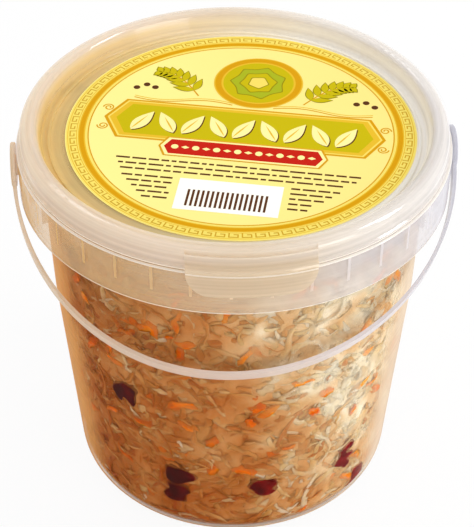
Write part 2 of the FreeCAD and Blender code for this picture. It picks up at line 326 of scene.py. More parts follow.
def ribShare(tree, at, p):
    # Upright marks on the collar, one for each rib that meets it from inside: the angle round the axis
    # counted in steps, near the middle of each step and near the ribs' height.
    turn = addNode(tree, "ShaderNodeMath", {"operation": "ARCTAN2"}, {0: at["y"], 1: at["x"]})
    steps = addNode(tree, "ShaderNodeMath", {"operation": "MULTIPLY", 1: math.degrees(1) / ribs["step"]},
                    {0: turn})
    part = addNode(tree, "ShaderNodeMath", {"operation": "FRACT"}, {0: steps})
    near = addNode(tree, "ShaderNodeMath", {"operation": "COMPARE", 1: 0.5, 2: ribs["halfWidth"]}, {0: part})
    level = addNode(tree, "ShaderNodeMath", {"operation": "COMPARE", 1: ribs["middle"] * mm,
                                             2: ribs["halfHeight"] * mm}, {0: at["z"]})
    mark = addNode(tree, "ShaderNodeMath", {"operation": "MULTIPLY"}, {0: near, 1: level})
    return addNode(tree, "ShaderNodeMath", {"operation": "MULTIPLY"},
                   {0: mark, 1: byRadius(tree, at, (0.0, p["ribs"]), ribs["radiusSpan"])})


def litShare(tree, at, p, m):
    # Painted highlight on cut edges: a thin band at each line's height, beyond a radius.
    lit = None
    for height in p["lines"]:
        near = addNode(tree, "ShaderNodeMath",
                       {"operation": "COMPARE", 1: height * mm, 2: m["lineHalf"] * mm}, {0: at["z"]})
        line = addNode(tree, "ShaderNodeMath", {"operation": "MULTIPLY"},
                       {0: near, 1: byRadius(tree, at, (0.0, m["edgeHighlightShare"]), p["lineSpan"])})
        if lit is not None:
            line = addNode(tree, "ShaderNodeMath", {"operation": "MAXIMUM"}, {0: lit, 1: line})
        lit = line
    return lit


def milkTone(tree, at, p, m, lit):
    # The haze's colour from left to right, painted warm shade on the left and cool light on the right, with
    # runs of its own for thin and stout parts, the tab, and the painted highlight on the lines.
    tone = addNode(tree, "ShaderNodeValToRGB", {"stops": p["milk"]}, {"Fac": at["across"]})
    if p["wallMilkAndShade"]:
        wall = addNode(tree, "ShaderNodeValToRGB", {"stops": p["wallMilkAndShade"]}, {"Fac": at["across"]})
        tone = addNode(tree, "ShaderNodeMix", {"data_type": "RGBA"},
                       {0: byRadius(tree, at, (0.0, 1.0)), 6: wall, 7: tone}).outputs[2]
    if p["rimTone"]:
        beyond = byRadius(tree, at, (0.0, m["rimShare"]), m["rimSpan"])
        tone = addNode(tree, "ShaderNodeMix", {"data_type": "RGBA", 7: linear(p["rimTone"])},
                       {0: beyond, 6: tone}).outputs[2]
    if lit is not None:
        tone = addNode(tree, "ShaderNodeMix", {"data_type": "RGBA", 7: linear(m["edgeHighlightTone"])},
                       {0: lit, 6: tone}).outputs[2]
    return tone


def makePlastic(name, p, m):
    # Natural polypropylene, injection moulded: clear with a milky haze that thickens in the stout parts
    # and where the eye looks along a wall. The haze's colour holds painted light and shade: warm and darker
    # on the left, cool and bright on the right. Cut edges get a painted highlight, and a soft waxy gloss
    # breaks over faint flow marks.
    material, tree, output = newMaterial("moulded_polypropylene_" + name)
    place = addNode(tree, "ShaderNodeTexCoord").outputs["Object"]
    axes = addNode(tree, "ShaderNodeSeparateXYZ", None, {"Vector": place})
    flat = addNode(tree, "ShaderNodeVectorMath", {"operation": "MULTIPLY", 1: (1, 1, 0)}, {0: place})
    radius = addNode(tree, "ShaderNodeVectorMath", {"operation": "LENGTH"}, {0: flat}).outputs["Value"]
    across = addNode(tree, "ShaderNodeMapRange",
                     {"From Min": -m["halfWidth"] * mm, "From Max": m["halfWidth"] * mm},
                     {"Value": axes.outputs["X"]})
    flow = addNode(tree, "ShaderNodeTexNoise", {"Scale": 1 / (m["flowSize"] * mm), "Detail": 3.0},
                   {"Vector": place})
    bump = addNode(tree, "ShaderNodeBump", {"Strength": 0.10, "Distance": m["flowDepth"] * mm},
                   {"Height": flow})
    facing = addNode(tree, "ShaderNodeLayerWeight", {"Blend": 0.5}, {"Normal": bump}).outputs["Facing"]
    at = {"x": axes.outputs["X"], "y": axes.outputs["Y"], "z": axes.outputs["Z"],
          "radius": radius, "across": across, "facing": facing}

    haze = hazeShare(tree, at, p, m)
    lit = litShare(tree, at, p, m)
    marks = [] if lit is None else [lit]
    if p["ribs"]:
        marks.append(ribShare(tree, at, p))
    if p["foot"]:
        low, high = m["footSpan"]
        marks.append(addNode(tree, "ShaderNodeMapRange", {"From Min": low * mm, "From Max": high * mm,
                                                          "To Min": p["foot"], "To Max": 0.0},
                             {"Value": at["z"]}))
    for mark in marks:
        haze = addNode(tree, "ShaderNodeMath", {"operation": "MAXIMUM"}, {0: haze, 1: mark})

    tone = milkTone(tree, at, p, m, lit)
    clear = addNode(tree, "ShaderNodeBsdfTransparent", {"Color": linear(p["tint"])})
    front = addNode(tree, "ShaderNodeBsdfDiffuse", None, {"Color": tone})
    through = addNode(tree, "ShaderNodeBsdfTranslucent", None, {"Color": tone})
    milk = addNode(tree, "ShaderNodeMixShader", None,
                   {"Fac": byRadius(tree, at, p["through"]), 1: front, 2: through})
    body = addNode(tree, "ShaderNodeMixShader", None, {"Fac": haze, 1: clear, 2: milk})
    shine = addNode(tree, "ShaderNodeBsdfGlossy", {"Roughness": p["gloss"], "Color": white}, {"Normal": bump})
    glare = addNode(tree, "ShaderNodeMath", {"operation": "POWER", 1: 5.0}, {0: facing})
    glare = addNode(tree, "ShaderNodeMath", {"operation": "MULTIPLY_ADD"},
                    {0: glare, 1: byRadius(tree, at, p["sheen"]), 2: byRadius(tree, at, p["glare"])})
    whole = addNode(tree, "ShaderNodeMixShader", None, {"Fac": glare, 1: body, 2: shine})
    tree.links.new(whole.outputs[0], output.inputs["Surface"])
    return material


def dressNode(node, material):
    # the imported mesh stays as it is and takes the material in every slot
    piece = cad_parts[node]
    if not piece.material_slots:
        piece.data.materials.append(material)
    for slot in piece.material_slots:
        slot.material = material


for plasticNode, recipe in plastics.items():
    dressNode(plasticNode, makePlastic(plasticNode, recipe, moulding))
print("tub, lid and handle in polypropylene")


inside = {
    # the tub's inside in mm; pairs are radius and height
    "floor": 1.2, "baseRadius": 46.7, "baseRounding": 8.0, "cornerOut": 0.7,
    "waist": (52.8, 69.0), "shoulder": (54.3, 102.9), "neckRadius": 57.3,
    "top": 116.0, "topRounding": 2.0,
    "samples": 700,
}


def insideProfile(p):
    # Radius and height along the inside, from the middle of the floor, round the base's corner, up
    # the wall and back to the axis over the top of the filling, with the normal at each point.
    r0, fillet, low = p["baseRadius"], p["baseRounding"], p["floor"]
    turn = np.linspace(-np.pi / 2, 0, 16)
    corner = np.stack([r0 + p["cornerOut"] - fillet + fillet * np.cos(turn),
                       low + fillet + fillet * np.sin(turn)], 1)
    bend = np.linspace(0, np.pi / 2, 8)
    cap = p["topRounding"]
    lip = np.stack([p["neckRadius"] - cap + cap * np.cos(bend), p["top"] - cap + cap * np.sin(bend)], 1)
    path = np.vstack([[[0, low]], corner, [p["waist"]], [p["shoulder"]], lip, [[0, p["top"]]]])
    run = np.concatenate([[0], np.cumsum(np.linalg.norm(np.diff(path, axis=0), axis=1))])
    s = np.linspace(0, run[-1], p["samples"])
    r, z = np.interp(s, run, path[:, 0]), np.interp(s, run, path[:, 1])
    dr, dz = np.gradient(r, s), np.gradient(z, s)
    size = np.hypot(dr, dz)
    return {"s": s, "r": r, "z": z, "nr": dz / size, "nz": -dr / size, "length": run[-1]}


profile = insideProfile(inside)


def onInside(angle, s, depth):
    # A point at depth mm in from the inside face: angle is round the axis, s runs along the profile.
    s = np.clip(s, 0, profile["length"])
    nr, nz = np.interp(s, profile["s"], profile["nr"]), np.interp(s, profile["s"], profile["nz"])
    r = np.interp(s, profile["s"], profile["r"]) - depth * nr
    z = np.interp(s, profile["s"], profile["z"]) - depth * nz
    return np.stack([r * np.cos(angle), r * np.sin(angle), z], -1)


stain = {
    "most": (1.32, 0.46),    # full stain at the base, and what it loses over 100 mm of height
    # the step across the tub is painted shade, darker on the left, away from the lamps
    "middle": ([10, 55, 97], [18, 7, -9]),   # heights, and mm across where the stain is half
    "spread": ([10, 55], [28, 20]),          # heights, and mm over which it fades towards the right
    "top": ([106, 113], [1, 0.48]),          # heights, and the share of it that is left
    "patch": 0.10, "patches": [(30, 7), (11, 8)],   # strength, then size in mm and seed of each field
    "own": (0.35, 0.6),      # a shred's own share: at least this, and this much for each full stain
    "range": (-0.05, 1.7),
    "full": (0.59, 0.24, 0.078),  # what a stain of 1 leaves of red, green and blue
}


def stainAt(points, strength=1.0, own=0.0):
    # Tan and painted shade on the cabbage, as a dye thickens: a smooth step across the tub, darker on the
    # left, which is painted shade; stronger towards the base and weak on the top, with soft patches and each
    # shred's own share.
    # points in mm
    z = points[..., 2]
    most = (stain["most"][0] - stain["most"][1] * z / 100) * np.interp(z, *stain["top"])
    middle = np.interp(z, *stain["middle"])
    spread = np.interp(z, *stain["spread"])
    amount = most * 0.5 * (1 - np.tanh((points[..., 0] - middle) / spread))
    amount = amount + stain["patch"] * sum(ripple(points, size, seed) for size, seed in stain["patches"])
    amount = amount + own * (stain["own"][0] + most * stain["own"][1])
    amount = np.clip(amount, *stain["range"])
    return np.column_stack([np.array(stain["full"]) ** (strength * amount[:, None]), np.ones(len(points))])


def addStain(tree, colour):
    # multiplies a colour by the stain attribute, which holds tan and painted shade
    dye = addNode(tree, "ShaderNodeAttribute", {"attribute_name": "stain"})
    return addNode(tree, "ShaderNodeMix", {"data_type": "RGBA", "blend_type": "MULTIPLY", 0: 1.0},
                   {6: colour, 7: dye.outputs["Color"]}).outputs[2]


core = {
    "columns": 360, "rows": 230,
    "depth": 0.8,            # mm in from the inside face
    "least": 0.1,            # mm that it keeps from the face
    "relief": 0.4,
    "stretch": (1, 1, 1.5),  # ridges run this much flatter than they are wide
    "ridges": (11, 3), "grain": (4.5, 4),    # size in mm and seed
    "grainShare": 0.5,
    # the next value is painted shade in the hollows: this much more stain per mm of depth; soak is the share
    # of the stain and painted shade that the core takes
    "hollowShade": 0.15,           # stain added per mm of depth
    "soak": 0.94,            # share of the stain that it takes
}


def skinAt(columns, rows, depthOf):
    # Closed skin that follows the inside face: depthOf gives its depth in mm at an array of points.
    angle = np.linspace(0, 2 * np.pi, columns, endpoint=False)
    s = np.linspace(0, profile["length"], rows)[1:-1]
    depth = depthOf(onInside(angle[None, :], s[:, None], np.zeros((len(s), columns))))
    points = onInside(angle[None, :], s[:, None], depth).reshape(-1, 3)
    poles = onInside(np.zeros(2), np.array([0, profile["length"]]), np.full(2, depth.mean()))
    around = np.arange(columns)
    after = (around + 1) % columns
    low, high, last = len(s) * columns, len(s) * columns + 1, (len(s) - 1) * columns
    faces = gridQuads(len(s), columns, False, True).tolist()
    faces += np.stack([np.full_like(around, low), after, around], 1).tolist()
    faces += np.stack([last + around, last + after, np.full_like(around, high)], 1).tolist()
    return np.vstack([points, poles]) * mm, faces, np.append(depth.ravel(), [depth.mean()] * 2)


def coreDepth(grid):
    # Mean depth less ridges: one less the size of a smooth random field, plus a finer field.
    ridges = 1 - np.abs(ripple(grid * core["stretch"], *core["ridges"]))
    field = ridges + core["grainShare"] * ripple(grid, *core["grain"])
    return np.clip(core["depth"] - core["relief"] * field, core["least"], None)


def makeCoreMaterial():
    # Packed shredded cabbage in brine: wet, mottled cream to tan, times the stain with its painted shade:
    # darker on the left and in the hollows between shreds.
    material, tree, output = newMaterial("cabbage_in_brine")
    place = addNode(tree, "ShaderNodeTexCoord").outputs["Object"]
    mottle = addNode(tree, "ShaderNodeTexNoise", {"Scale": 1 / (6 * mm), "Detail": 5.0, "Roughness": 0.62},
                     {"Vector": place})
    colour = addNode(tree, "ShaderNodeValToRGB", {"stops": [(0.30, "#E6CCA2"), (0.42, "#EFE0C4"),
                                                            (0.56, "#F7F0E2"), (0.72, "#FBF8F2")]},
                     {"Fac": mottle})
    surface = addNode(tree, "ShaderNodeBsdfPrincipled",
                      {"Roughness": 0.5, "IOR": 1.38, "Specular IOR Level": 0.1},
                      {"Base Color": addStain(tree, colour.outputs["Color"])})
    tree.links.new(surface.outputs[0], output.inputs["Surface"])
    return material


corePoints, coreFaces, coreDepths = skinAt(core["columns"], core["rows"], coreDepth)
# painted shade in the hollows: the deeper the core lies, the darker it gets
coreSeams = core["hollowShade"] * (coreDepths - core["depth"] + core["relief"])
cabbageCore = makePiece("cabbage_core", corePoints, coreFaces, makeCoreMaterial(), True, None,
                        {"stain": stainAt(corePoints / mm, core["soak"], coreSeams)})
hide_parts("sauerkraut")
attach(cabbageCore, containerBody)
print("core made")


shreds = {
    # Sizes and depths in mm. dive is how far the ends go into the core, level the spread of the heading
    # and curl of its turn, bulge and lumps how uneven the outline is. dye is the spread of each one's own
    # stain, soak the share of the stain and painted shade that it takes, press how far it may reach past the
    # inside face.
    # spots are degrees from +X and height of those that lie against the wall.
    "cabbage_strips": {
        "count": 2400, "seed": 11, "stations": 7, "ring": 6,
        "length": (10, 28), "width": (1.1, 2.6), "thickness": (0.4, 0.75), "depth": (0.25, 1.4),
        "plump": False, "dive": 1.2, "curl": 1.2, "level": 0.9, "bulge": 0.25, "lumps": 0.0,
        "dye": 0.36, "soak": 1.0, "press": 0.03,
        "spots": [],
    },
    "cabbage_flakes": {
        "count": 3300, "seed": 12, "stations": 5, "ring": 6,
        "length": (4, 10), "width": (2.0, 4.6), "thickness": (0.3, 0.55), "depth": (0.2, 1.2),
        "plump": False, "dive": 0.9, "curl": 0.9, "level": 0.8, "bulge": 0.35, "lumps": 0.0,
        "dye": 0.40, "soak": 1.0, "press": 0.03,
        "spots": [],
    },
    "carrot_shreds": {
        "count": 250, "seed": 13, "stations": 7, "ring": 8,
        "length": (4, 11), "width": (1.8, 3.8), "thickness": (0.6, 1.0), "depth": (0.05, 1.0),
        "plump": False, "dive": 0.5, "curl": 0.5, "level": 0.9, "bulge": 0.25, "lumps": 0.12,
        "dye": 0.20, "soak": 0.42, "press": 0.28,
        "spots": [(-121, 85), (-111, 78), (-72, 66), (-111, 57), (-86, 58), (-67, 51.5), (-89, 52),
                  (-110, 49), (-101, 43.5), (-47, 52), (-36, 43), (-102, 31), (-90, 30.5), (-47, 11),
                  (-146, 67), (-111, 99), (-86, 109)],
    },
    "cranberries": {
        "count": 16, "seed": 16, "stations": 27, "ring": 30,
        "length": (9, 12), "width": (7, 9), "thickness": (5.0, 6.5), "depth": (1.2, 2.2),
        "plump": True, "dive": 0.0, "curl": 0.2, "level": 0.9, "bulge": 0.28, "lumps": 0.2,
        "dye": 0.0, "soak": 1.25, "press": 0.30,
        "spots": [(-132.5, 54.8), (-50, 22.8), (-40, 8), (-113, 27)],
    },
}
cut = {
    # what all shreds share, mm and radians
    "floorShare": 0.45, "topShare": 0.75,    # how densely they lie there, against 1 on the wall
    "clearRadius": 5, "leastRadius": 6,      # none are seated nearer the axis; least radius to turn on
    "wave": 0.35, "slope": 0.8, "tilt": 0.35, "twist": 0.7,
    "lumpSize": 5, "lumpShift": 40,          # shift of the field from one shred to the next, per radian
}


def seatShreds(count, rng, spots):
    # Random seats spread evenly over the inside, fewer on the floor and the top; spots come first.
    s = profile["s"]
    weight = np.where(profile["nz"] > 0.7, cut["topShare"], 1.0)
    weight = np.where(profile["nz"] < -0.7, cut["floorShare"], weight)
    heap = np.cumsum(profile["r"] * weight * (profile["r"] > cut["clearRadius"]))
    seat = np.interp(rng.uniform(0, heap[-1], count), heap, s)
    angle = rng.uniform(0, 2 * np.pi, count)
    rise = np.argmax(profile["z"])
    for index, (degrees, height) in enumerate(spots):
        angle[index] = math.radians(degrees)
        seat[index] = np.interp(height, profile["z"][:rise], s[:rise])
    return angle, seat


def makeShreds(p):
    # Each shred is a flat oval profile carried along a curved path on the inside face. Its heading
    # turns steadily with a slight wave, and its ends dive into the core. Plump ones end rounder.
    rng = np.random.default_rng(p["seed"])
    count, stations, ring = p["count"], p["stations"], p["ring"]
    angle0, s0 = seatShreds(count, rng, p["spots"])
    length = rng.uniform(*p["length"], count)[:, None]
    t = np.linspace(-0.5, 0.5, stations)[None, :]
    heading0 = rng.normal(0, p["level"], count)[:, None]
    curl = rng.normal(0, p["curl"], count)[:, None]
    wave = rng.normal(0, cut["wave"], count)[:, None] * np.sin(
        2 * np.pi * t * rng.uniform(0.6, 1.4, count)[:, None] + rng.uniform(0, 6.3, count)[:, None])
    heading = heading0 + curl * 2 * t + wave
    step = length / (stations - 1)
    across = np.cumsum(np.cos(heading), 1) * step
    along = np.cumsum(np.sin(heading), 1) * step
    across -= across.mean(1, keepdims=True)
    along -= along.mean(1, keepdims=True)

    start = rng.uniform(*p["depth"], count)
    start[:len(p["spots"])] = p["depth"][0]
    depth = start[:, None] + p["dive"] * (2 * t) ** 2 * rng.uniform(0.2, 1.2, count)[:, None]
    slope = rng.normal(0, cut["slope"], count)[:, None]
    depth = depth if p["plump"] else depth + slope * t
    taper = np.sqrt(np.clip(1 - np.abs(2.0 * t) ** (2 if p["plump"] else 4) * 0.97, 0.02, 1))
    bulges = np.sin(rng.uniform(5, 12, count)[:, None] * t + rng.uniform(0, 6.3, count)[:, None])
    width = rng.uniform(*p["width"], count)[:, None] * taper * (1 + p["bulge"] * bulges)
    thick = rng.uniform(*p["thickness"], count)[:, None] * (taper if p["plump"] else np.sqrt(taper))
    tilt = rng.normal(0, cut["tilt"], count)[:, None] + rng.normal(0, cut["twist"], count)[:, None] * t

    turn = np.linspace(0, 2 * np.pi, ring, endpoint=False)[None, None, :]
    sideways = width[..., None] / 2 * np.cos(turn)
    outward = thick[..., None] / 2 * np.sin(turn)
    if p["lumps"]:
        # uneven swelling: a random field that is shifted from one shred to the next
        shift = cut["lumpShift"] * angle0[:, None, None]
        spot = np.stack(np.broadcast_arrays(along[..., None] + shift, sideways, outward), -1)
        swell = 1 + p["lumps"] * ripple(spot, cut["lumpSize"], p["seed"])
        sideways, outward = sideways * swell, outward * swell
    tiltC, tiltS = np.cos(tilt)[..., None], np.sin(tilt)[..., None]
    flat = sideways * tiltC - outward * tiltS
    lift = sideways * tiltS + outward * tiltC
    acrossAll = across[..., None] - np.sin(heading)[..., None] * flat
    alongAll = along[..., None] + np.cos(heading)[..., None] * flat
    depthAll = np.clip(depth[..., None] - lift, -p["press"], None)
    radius0 = np.maximum(np.interp(s0, profile["s"], profile["r"]), cut["leastRadius"])[:, None, None]
    points = onInside(angle0[:, None, None] + acrossAll / radius0, s0[:, None, None] + alongAll, depthAll)
    points = points.reshape(-1, 3)

    offset = (np.arange(count) * stations * ring)[:, None]
    quads = (gridQuads(stations, ring, False, True).reshape(1, -1) + offset).reshape(-1, 4)
    firstCap = np.arange(ring)[::-1]
    lastCap = (stations - 1) * ring + np.arange(ring)
    caps = np.vstack([firstCap[None, :] + offset, lastCap[None, :] + offset])
    shade = np.repeat(rng.uniform(0, 0.5, count), stations * ring)
    # stain and painted shade for each point, darker on the left
    dye = stainAt(points, p["soak"], np.repeat(rng.normal(0, p["dye"], count), stations * ring))
    return points * mm, quads.tolist() + caps.tolist(), shade, dye


def makeShredMaterial(name, grain, bumpSize, stops):
    # Wet cut vegetable: each shred has its own tone from the attribute shade, with fine fibres in it, times
    # the stain with its painted shade.
    # Light goes a little way in, which softens the shadows between them.
    material, tree, output = newMaterial(name)
    place = addNode(tree, "ShaderNodeTexCoord").outputs["Object"]
    shade = addNode(tree, "ShaderNodeAttribute", {"attribute_name": "shade"})
    fibre = addNode(tree, "ShaderNodeTexNoise", {"Scale": 1 / (grain * mm), "Detail": 4.0}, {"Vector": place})
    mixed = addNode(tree, "ShaderNodeMath", {"operation": "MULTIPLY_ADD", 1: 1.6},
                    {0: fibre, 2: shade.outputs["Fac"]})
    tone = addNode(tree, "ShaderNodeMath", {"operation": "SUBTRACT", 1: 0.55, "use_clamp": True}, {0: mixed})
    colour = addNode(tree, "ShaderNodeValToRGB", {"stops": stops}, {"Fac": tone})
    bump = addNode(tree, "ShaderNodeBump", {"Strength": 0.5, "Distance": bumpSize * mm}, {"Height": fibre})
    surface = addNode(tree, "ShaderNodeBsdfPrincipled",
                      {"Roughness": 0.5, "IOR": 1.38, "Specular IOR Level": 0.1, "Subsurface Weight": 0.75,
                       "Subsurface Scale": 2.4 * mm, "Subsurface Radius": (0.75, 0.72, 0.68)},
                      {"Base Color": addStain(tree, colour.outputs["Color"]), "Normal": bump})
    tree.links.new(surface.outputs[0], output.inputs["Surface"])
    return material


shredFinishes = {
    # material, fibre size and bump height in mm, and tones from the darkest to the palest
    "cabbage_strips": ("pickled_cabbage", 4.5, 0.12,
                       [(0.0, "#DCB880"), (0.3, "#EDDAB0"), (0.6, "#F7ECD2"), (1.0, "#FCF7EA")]),
    "cabbage_flakes": ("pickled_cabbage_leaf", 6.5, 0.12,
                       [(0.0, "#DCBA82"), (0.3, "#EEDCB4"), (0.6, "#F8EDD4"), (1.0, "#FCF7EA")]),
    "carrot_shreds": ("pickled_carrot", 2.5, 0.15,
                      [(0.0, "#E0680A"), (0.5, "#F28818"), (1.0, "#FAAC50")]),
    "cranberries": ("pickled_cranberry", 4.0, 0.30,
                    [(0.0, "#2C060A"), (0.4, "#560B16"), (0.75, "#86121F"), (1.0, "#9E2836")]),
}
for shredName, shredSizes in shreds.items():
    shredPoints, shredFaces, shredShade, shredDye = makeShreds(shredSizes)
    shredPiece = makePiece(shredName, shredPoints, shredFaces, makeShredMaterial(*shredFinishes[shredName]),
                           True, {"shade": shredShade}, {"stain": shredDye})
    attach(shredPiece, containerBody)
    print(shredName, len(shredFaces), "faces")


brine = {
    "columns": 240, "rows": 170,
    "into": 0.25,            # mm that the skin reaches into the wall, so that no air shows
    "cloud": 0.29, "colour": "#F6E6C8",
}


def brineDepth(grid):
    # the same depth everywhere, negative because the skin lies in the wall
    return np.full(grid.shape[:2], -brine["into"])


def makeBrineMaterial(b):
    # Pickling brine, a thin cloudy liquid: it veils what lies behind it in its own tan, times the stain with
    # its painted shade, darker on the left.
    material, tree, output = newMaterial("cloudy_brine")
    place = addNode(tree, "ShaderNodeTexCoord").outputs["Object"]
    cloud = addNode(tree, "ShaderNodeTexNoise", {"Scale": 1 / (7 * mm), "Detail": 3.0}, {"Vector": place})
    share = addNode(tree, "ShaderNodeMapRange", {"From Min": 0.3, "From Max": 0.7, "To Min": b["cloud"] * 0.5,
                                                 "To Max": b["cloud"] * 1.5}, {"Value": cloud})
    dye = addNode(tree, "ShaderNodeAttribute", {"attribute_name": "stain"})
    colour = addNode(tree, "ShaderNodeMix", {"data_type": "RGBA", "blend_type": "MULTIPLY", 0: 1.0,
                                             6: linear(b["colour"])}, {7: dye.outputs["Color"]}).outputs[2]
    clear = addNode(tree, "ShaderNodeBsdfTransparent", {"Color": linear("#FFFDF8")})
    front = addNode(tree, "ShaderNodeBsdfDiffuse", None, {"Color": colour})
    whole = addNode(tree, "ShaderNodeMixShader", None, {"Fac": share, 1: clear, 2: front})
    tree.links.new(whole.outputs[0], output.inputs["Surface"])
    return material


brinePoints, brineFaces = skinAt(brine["columns"], brine["rows"], brineDepth)[:2]
brinePiece = makePiece("brine", brinePoints, brineFaces, makeBrineMaterial(brine), True, None,
                       {"stain": stainAt(brinePoints / mm)})
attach(brinePiece, containerBody)
print("brine made")


label = {
    "centre": (1.95, 0.6), "turn": -12.6,    # mm off the lid's middle, degrees
    "lift": 0.012,                           # mm between two layers of ink
    "film": 0.8,                             # an ink's thickness as a share of that
    "ground": [(0.0, "#FCF094"), (0.5, "#FBEA8C"), (1.0, "#FAE486")],
    "groundSpan": (-45, 50),                 # mm across
}
inks = {
    "cream": "#FFF0A0", "amber": "#D89C08", "gold": "#E6BA2C", "paleGold": "#F5DA64", "key": "#CFA226",
    "straw": "#F3DE6C", "olive": "#C8B606", "darkOlive": "#968A0C", "leaf": "#A9B21E", "red": "#C4200F",
    "brown": "#5A3418", "white": "#FFFDF2",
}
prints = []                  # (points in mm, faces, ink, layer)


def inked(points, faces, ink, layer):
    prints.append((np.asarray(points, float), faces, ink, layer))


def inkShape(outline, ink, layer):
    # a filled outline, turned round where it runs clockwise, so that its face looks up
    ahead = np.roll(outline, -1, 0)
    area = (outline[:, 0] * ahead[:, 1] - ahead[:, 0] * outline[:, 1]).sum()
    inked(outline if area > 0 else outline[::-1], [list(range(len(outline)))], ink, layer)


def inkLine(points, width, ink, layer, closed=False):
    # A line of even width: each point is set off both ways along the mitre of its two runs.
    points = np.asarray(points, float)
    runs = np.roll(points, -1, 0) - points if closed else np.diff(points, axis=0)
    runs = runs / np.linalg.norm(runs, axis=1, keepdims=True)
    sides = np.stack([-runs[:, 1], runs[:, 0]], 1)
    before = np.roll(sides, 1, 0) if closed else np.vstack([sides[:1], sides])
    after = sides if closed else np.vstack([sides, sides[-1:]])
    mitre = (before + after) / (1 + (before * after).sum(1, keepdims=True))
    both = np.stack([points + mitre * width / 2, points - mitre * width / 2], 1)
    inked(both.reshape(-1, 2), gridQuads(len(points), 2, closed, False).tolist(), ink, layer)


def circle(radius, centre=(0, 0), steps=160):
    t = np.radians(np.linspace(0, 360, steps, endpoint=False))
    return np.stack([centre[0] + radius * np.cos(t), centre[1] + radius * np.sin(t)], 1)


def box(x, y, width, height):
    return np.array([(x, y), (x + width, y), (x + width, y + height), (x, y + height)])


def leafOutline(foot, direction, length, width, steps=14):
    # half width = width x sine of the way along, fuller near the foot; direction in degrees
    t = np.linspace(0, 1, steps)
    half = width / 2 * np.sin(np.pi * t ** 0.8)
    outline = np.vstack([np.stack([t * length, half], 1), np.stack([t * length, -half], 1)[-2:0:-1]])
    a = math.radians(direction)
    turn = np.array([[math.cos(a), math.sin(a)], [-math.sin(a), math.cos(a)]])
    return outline @ turn + foot


border = {
    # radius and width in mm, ink and layer of each ring
    "rings": [(47.0, 6.2, "straw", 0), (49.5, 0.22, "gold", 1), (47.0, 0.22, "gold", 1),
              (45.6, 2.0, "gold", 1), (45.6, 1.3, "amber", 2), (43.7, 0.35, "amber", 1)],
    "keys": 84, "keyFoot": 47.1, "keyHeight": 1.75, "keyLine": 0.36,
}


def inkBorder(p):
    # A broad amber ring and thin ones, and a Greek key on a straw ground: each key is a hook whose points
    # are shares of a step round the border and of the key's height.
    for radius, width, ink, layer in p["rings"]:
        inkLine(circle(radius, steps=200)[:-1], width, ink, layer, True)
    hook = np.array([(0.0, 0.0), (0.0, 1.0), (0.68, 1.0), (0.68, 0.36), (0.34, 0.36)])
    for index in range(p["keys"]):
        a = 2 * np.pi * (index + hook[:, 0]) / p["keys"]
        r = p["keyFoot"] + hook[:, 1] * p["keyHeight"]
        inkLine(np.stack([r * np.cos(a), r * np.sin(a)], 1), p["keyLine"], "key", 2)


band = {
    "middle": (0.6, 1.6),
    # half width, half height and length of the pointed end in mm, ink and layer
    "panels": [(40.8, 9.6, 5.0, "amber", 1), (39.8, 8.9, 4.6, "paleGold", 2), (39.2, 8.4, 4.4, "gold", 3),
               (37.2, 7.2, 3.6, "olive", 4)],
    "leaves": 9, "leafSpan": (-29, 30), "leafSize": (11.0, 4.4), "leafFoot": (5.2, -5.4), "lean": 28,
    "shadow": (0.35, -0.35), "veinFoot": (0.0, 0.6), "veinSize": (8.0, 0.5),
    "scroll": (40.3, 4.6), "scrollRadius": 1.7, "scrollShrink": 0.78, "scrollTurn": 10,    # radians
    "scrollLine": 0.42,
}
ribbon = {
    "middle": (2.0, -10.3),
    "panels": [(24.2, 4.5, 2.0, "amber", 5), (23.6, 4.1, 1.9, "cream", 6), (22.6, 3.4, 1.7, "red", 7)],
    "marks": 14, "markSpan": (-17.5, 21.5), "dotRadius": 1.05, "diamond": (1.2, 0.7),
}


def inkPanels(p):
    # long panels one in the other, whose two ends come to a blunt point
    x, y = p["middle"]
    for halfWidth, halfHeight, point, ink, layer in p["panels"]:
        half = halfWidth - point
        inkShape(np.array([(x - half, y - halfHeight), (x + half, y - halfHeight), (x + halfWidth, y),
                           (x + half, y + halfHeight), (x - half, y + halfHeight), (x - halfWidth, y)]),
                 ink, layer)


def inkBand(p):
    # The broad olive band with an amber frame, a row of pale leaves and two small scrolls at each end. A
    # scroll is a circle whose radius shrinks as it turns.
    inkPanels(p)
    t = np.linspace(0, 1, 30)
    size = p["scrollRadius"] * (1 - p["scrollShrink"] * t)
    turn = p["scrollTurn"] * t
    for side in (-1, 1):
        for up in (-1, 1):
            curl = np.stack([side * (p["scroll"][0] + size * np.cos(turn)),
                             up * (p["scroll"][1] + size * np.sin(turn))], 1)
            inkLine(curl + p["middle"], p["scrollLine"], "amber", 1)
    length, width = p["leafSize"]
    for index, x in enumerate(np.linspace(*p["leafSpan"], p["leaves"])):
        lean = 90 - p["lean"] if index % 2 == 0 else 90 + p["lean"]
        back = p["leafFoot"][0] * math.cos(math.radians(lean))
        foot = np.array([x - back, p["middle"][1] + p["leafFoot"][1]])
        inkShape(leafOutline(foot + p["shadow"], lean, length, width), "brown", 5)
        inkShape(leafOutline(foot, lean, length, width), "cream", 6)
        inkShape(leafOutline(foot + p["veinFoot"], lean, *p["veinSize"]), "gold", 7)


def inkRibbon(p):
    # The small red ribbon under the band, with a row of pale dots and diamonds.
    inkPanels(p)
    y = p["middle"][1]
    wide, high = p["diamond"]
    for index, x in enumerate(np.linspace(*p["markSpan"], p["marks"])):
        if index % 2 == 0:
            inkShape(circle(p["dotRadius"], (x, y), 14), "cream", 8)
        else:
            inkShape(np.array([(x - wide, y), (x, y - high), (x + wide, y), (x, y + high)]), "cream", 8)


badge = {
    "middle": (1.6, 25.2),
    "discs": [(13.2, "gold", 3), (12.8, "amber", 4), (11.0, "gold", 5), (10.4, "olive", 6)],
    # radius in mm, number of lobes and ink of each whorl of leaves, from the outside in
    "whorls": [(8.6, 7, "darkOlive"), (8.2, 7, "leaf"), (5.8, 6, "darkOlive"), (5.4, 6, "olive"),
               (3.3, 5, "darkOlive"), (2.9, 5, "paleGold")],
    "notch": 0.16,           # how deep the lobes are cut, as a share of the radius
}


